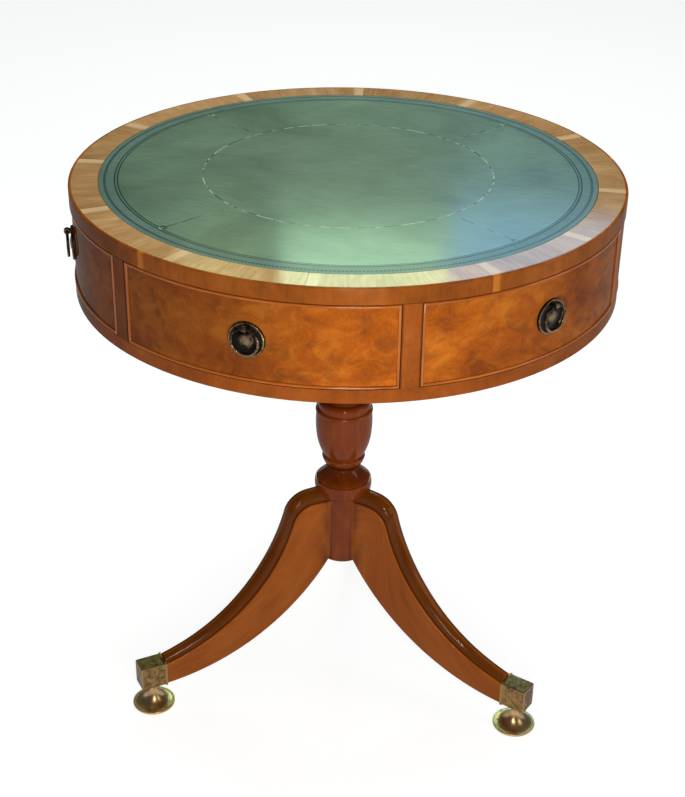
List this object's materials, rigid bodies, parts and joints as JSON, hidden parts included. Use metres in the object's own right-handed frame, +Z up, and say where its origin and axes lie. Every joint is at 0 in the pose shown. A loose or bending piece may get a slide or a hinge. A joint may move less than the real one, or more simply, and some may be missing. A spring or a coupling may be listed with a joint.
{
  "type": "drum table",
  "caption": "Small revolving drum table with a round leather-lined top, curved drawer and dummy fronts, and a turned column on three sabre legs.",
  "frame": {"origin": "on the floor, under the middle of the column", "axes": "+Z up along the column; -Y out of the middle of drawer 1"},
  "size_m": [0.6109, 0.6268, 0.66],
  "materials": {
    "yew_veneer": "French polished burr and straight-grained yew veneer",
    "turned_yew": "French polished solid wood, stained red-brown",
    "carcass_wood": "plain planed softwood and ply",
    "green_leather": "smooth hide, tooled in gold and blind",
    "antique_bronze": "dark bronzed brass",
    "aged_brass": "cast brass, aged",
    "polished_brass": "turned brass, polished",
    "dull_steel": "dull steel"
  },
  "bodies": {
    "base": {"pedestal_column": "turned_yew", "leg_left": "turned_yew", "leg_right": "turned_yew", "leg_rear": "turned_yew", "toe_cap_left": "aged_brass", "toe_cap_right": "aged_brass", "toe_cap_rear": "aged_brass", "foot_glide_left": "polished_brass", "foot_glide_right": "polished_brass", "foot_glide_rear": "polished_brass", "leg_strap": "dull_steel", "strap_screws": "dull_steel", "bearer_block": "turned_yew", "thrust_ring": "polished_brass", "pivot_pin": "dull_steel", "pivot_nut": "dull_steel"},
    "drum": {"top_board": "carcass_wood", "top_lipping": "yew_veneer", "top_crossbanding": "yew_veneer", "leather_inset": "green_leather", "drawer_guides": "carcass_wood", "drum_stiles": "yew_veneer", "bottom_rail": "yew_veneer", "bottom_board": "carcass_wood", "drawer_kickers": "carcass_wood", "drawer_stops": "carcass_wood", "hub_bush": "polished_brass", "dummy_beads": "yew_veneer", "dummy_front_1": "yew_veneer", "dummy_front_2": "yew_veneer", "dummy_front_3": "yew_veneer", "handle_plate_4": "antique_bronze", "handle_plate_5": "antique_bronze", "handle_plate_6": "antique_bronze"},
    "drawer_1": {"drawer_front_1": "yew_veneer", "drawer_bead_1": "yew_veneer", "drawer_sides_1": "carcass_wood", "drawer_back_1": "carcass_wood", "drawer_bottom_1": "carcass_wood", "handle_plate_1": "antique_bronze"},
    "drawer_2": {"drawer_front_2": "yew_veneer", "drawer_bead_2": "yew_veneer", "drawer_sides_2": "carcass_wood", "drawer_back_2": "carcass_wood", "drawer_bottom_2": "carcass_wood", "handle_plate_2": "antique_bronze"},
    "drawer_3": {"drawer_front_3": "yew_veneer", "drawer_bead_3": "yew_veneer", "drawer_sides_3": "carcass_wood", "drawer_back_3": "carcass_wood", "drawer_bottom_3": "carcass_wood", "handle_plate_3": "antique_bronze"},
    "ring_1": {"ring_pull_1": "antique_bronze"},
    "ring_2": {"ring_pull_2": "antique_bronze"},
    "ring_3": {"ring_pull_3": "antique_bronze"},
    "ring_4": {"ring_pull_4": "antique_bronze"},
    "ring_5": {"ring_pull_5": "antique_bronze"},
    "ring_6": {"ring_pull_6": "antique_bronze"}
  },
  "joints": [
    {"name": "drum_turn", "type": "hinge", "parent": "base", "child": "drum", "pos_m": [0, 0, 0.54], "axis": [0, 0, 1], "continuous": true},
    {"name": "drawer_1_slide", "type": "slide", "parent": "drum", "child": "drawer_1", "axis": [0, -1, 0], "range_m": [0, 0.17]},
    {"name": "drawer_2_slide", "type": "slide", "parent": "drum", "child": "drawer_2", "axis": [0.866, 0.5, 0], "range_m": [0, 0.17]},
    {"name": "drawer_3_slide", "type": "slide", "parent": "drum", "child": "drawer_3", "axis": [-0.866, 0.5, 0], "range_m": [0, 0.17]},
    {"name": "ring_1_swing", "type": "hinge", "parent": "drawer_1", "child": "ring_1", "pos_m": [0, -0.31, 0.611], "axis": [-1, 0, 0], "range_deg": [0, 160]},
    {"name": "ring_2_swing", "type": "hinge", "parent": "drawer_2", "child": "ring_2", "pos_m": [0.26847, 0.155, 0.611], "axis": [0.5, -0.866, 0], "range_deg": [0, 160]},
    {"name": "ring_3_swing", "type": "hinge", "parent": "drawer_3", "child": "ring_3", "pos_m": [-0.26847, 0.155, 0.611], "axis": [0.5, 0.866, 0], "range_deg": [0, 160]},
    {"name": "ring_4_swing", "type": "hinge", "parent": "drum", "child": "ring_4", "pos_m": [0.26847, -0.155, 0.611], "axis": [-0.5, -0.866, 0], "range_deg": [0, 160]},
    {"name": "ring_5_swing", "type": "hinge", "parent": "drum", "child": "ring_5", "pos_m": [0, 0.31, 0.611], "axis": [1, 0, 0], "range_deg": [0, 160]},
    {"name": "ring_6_swing", "type": "hinge", "parent": "drum", "child": "ring_6", "pos_m": [-0.26847, -0.155, 0.611], "axis": [-0.5, 0.866, 0], "range_deg": [0, 160]}
  ]
}
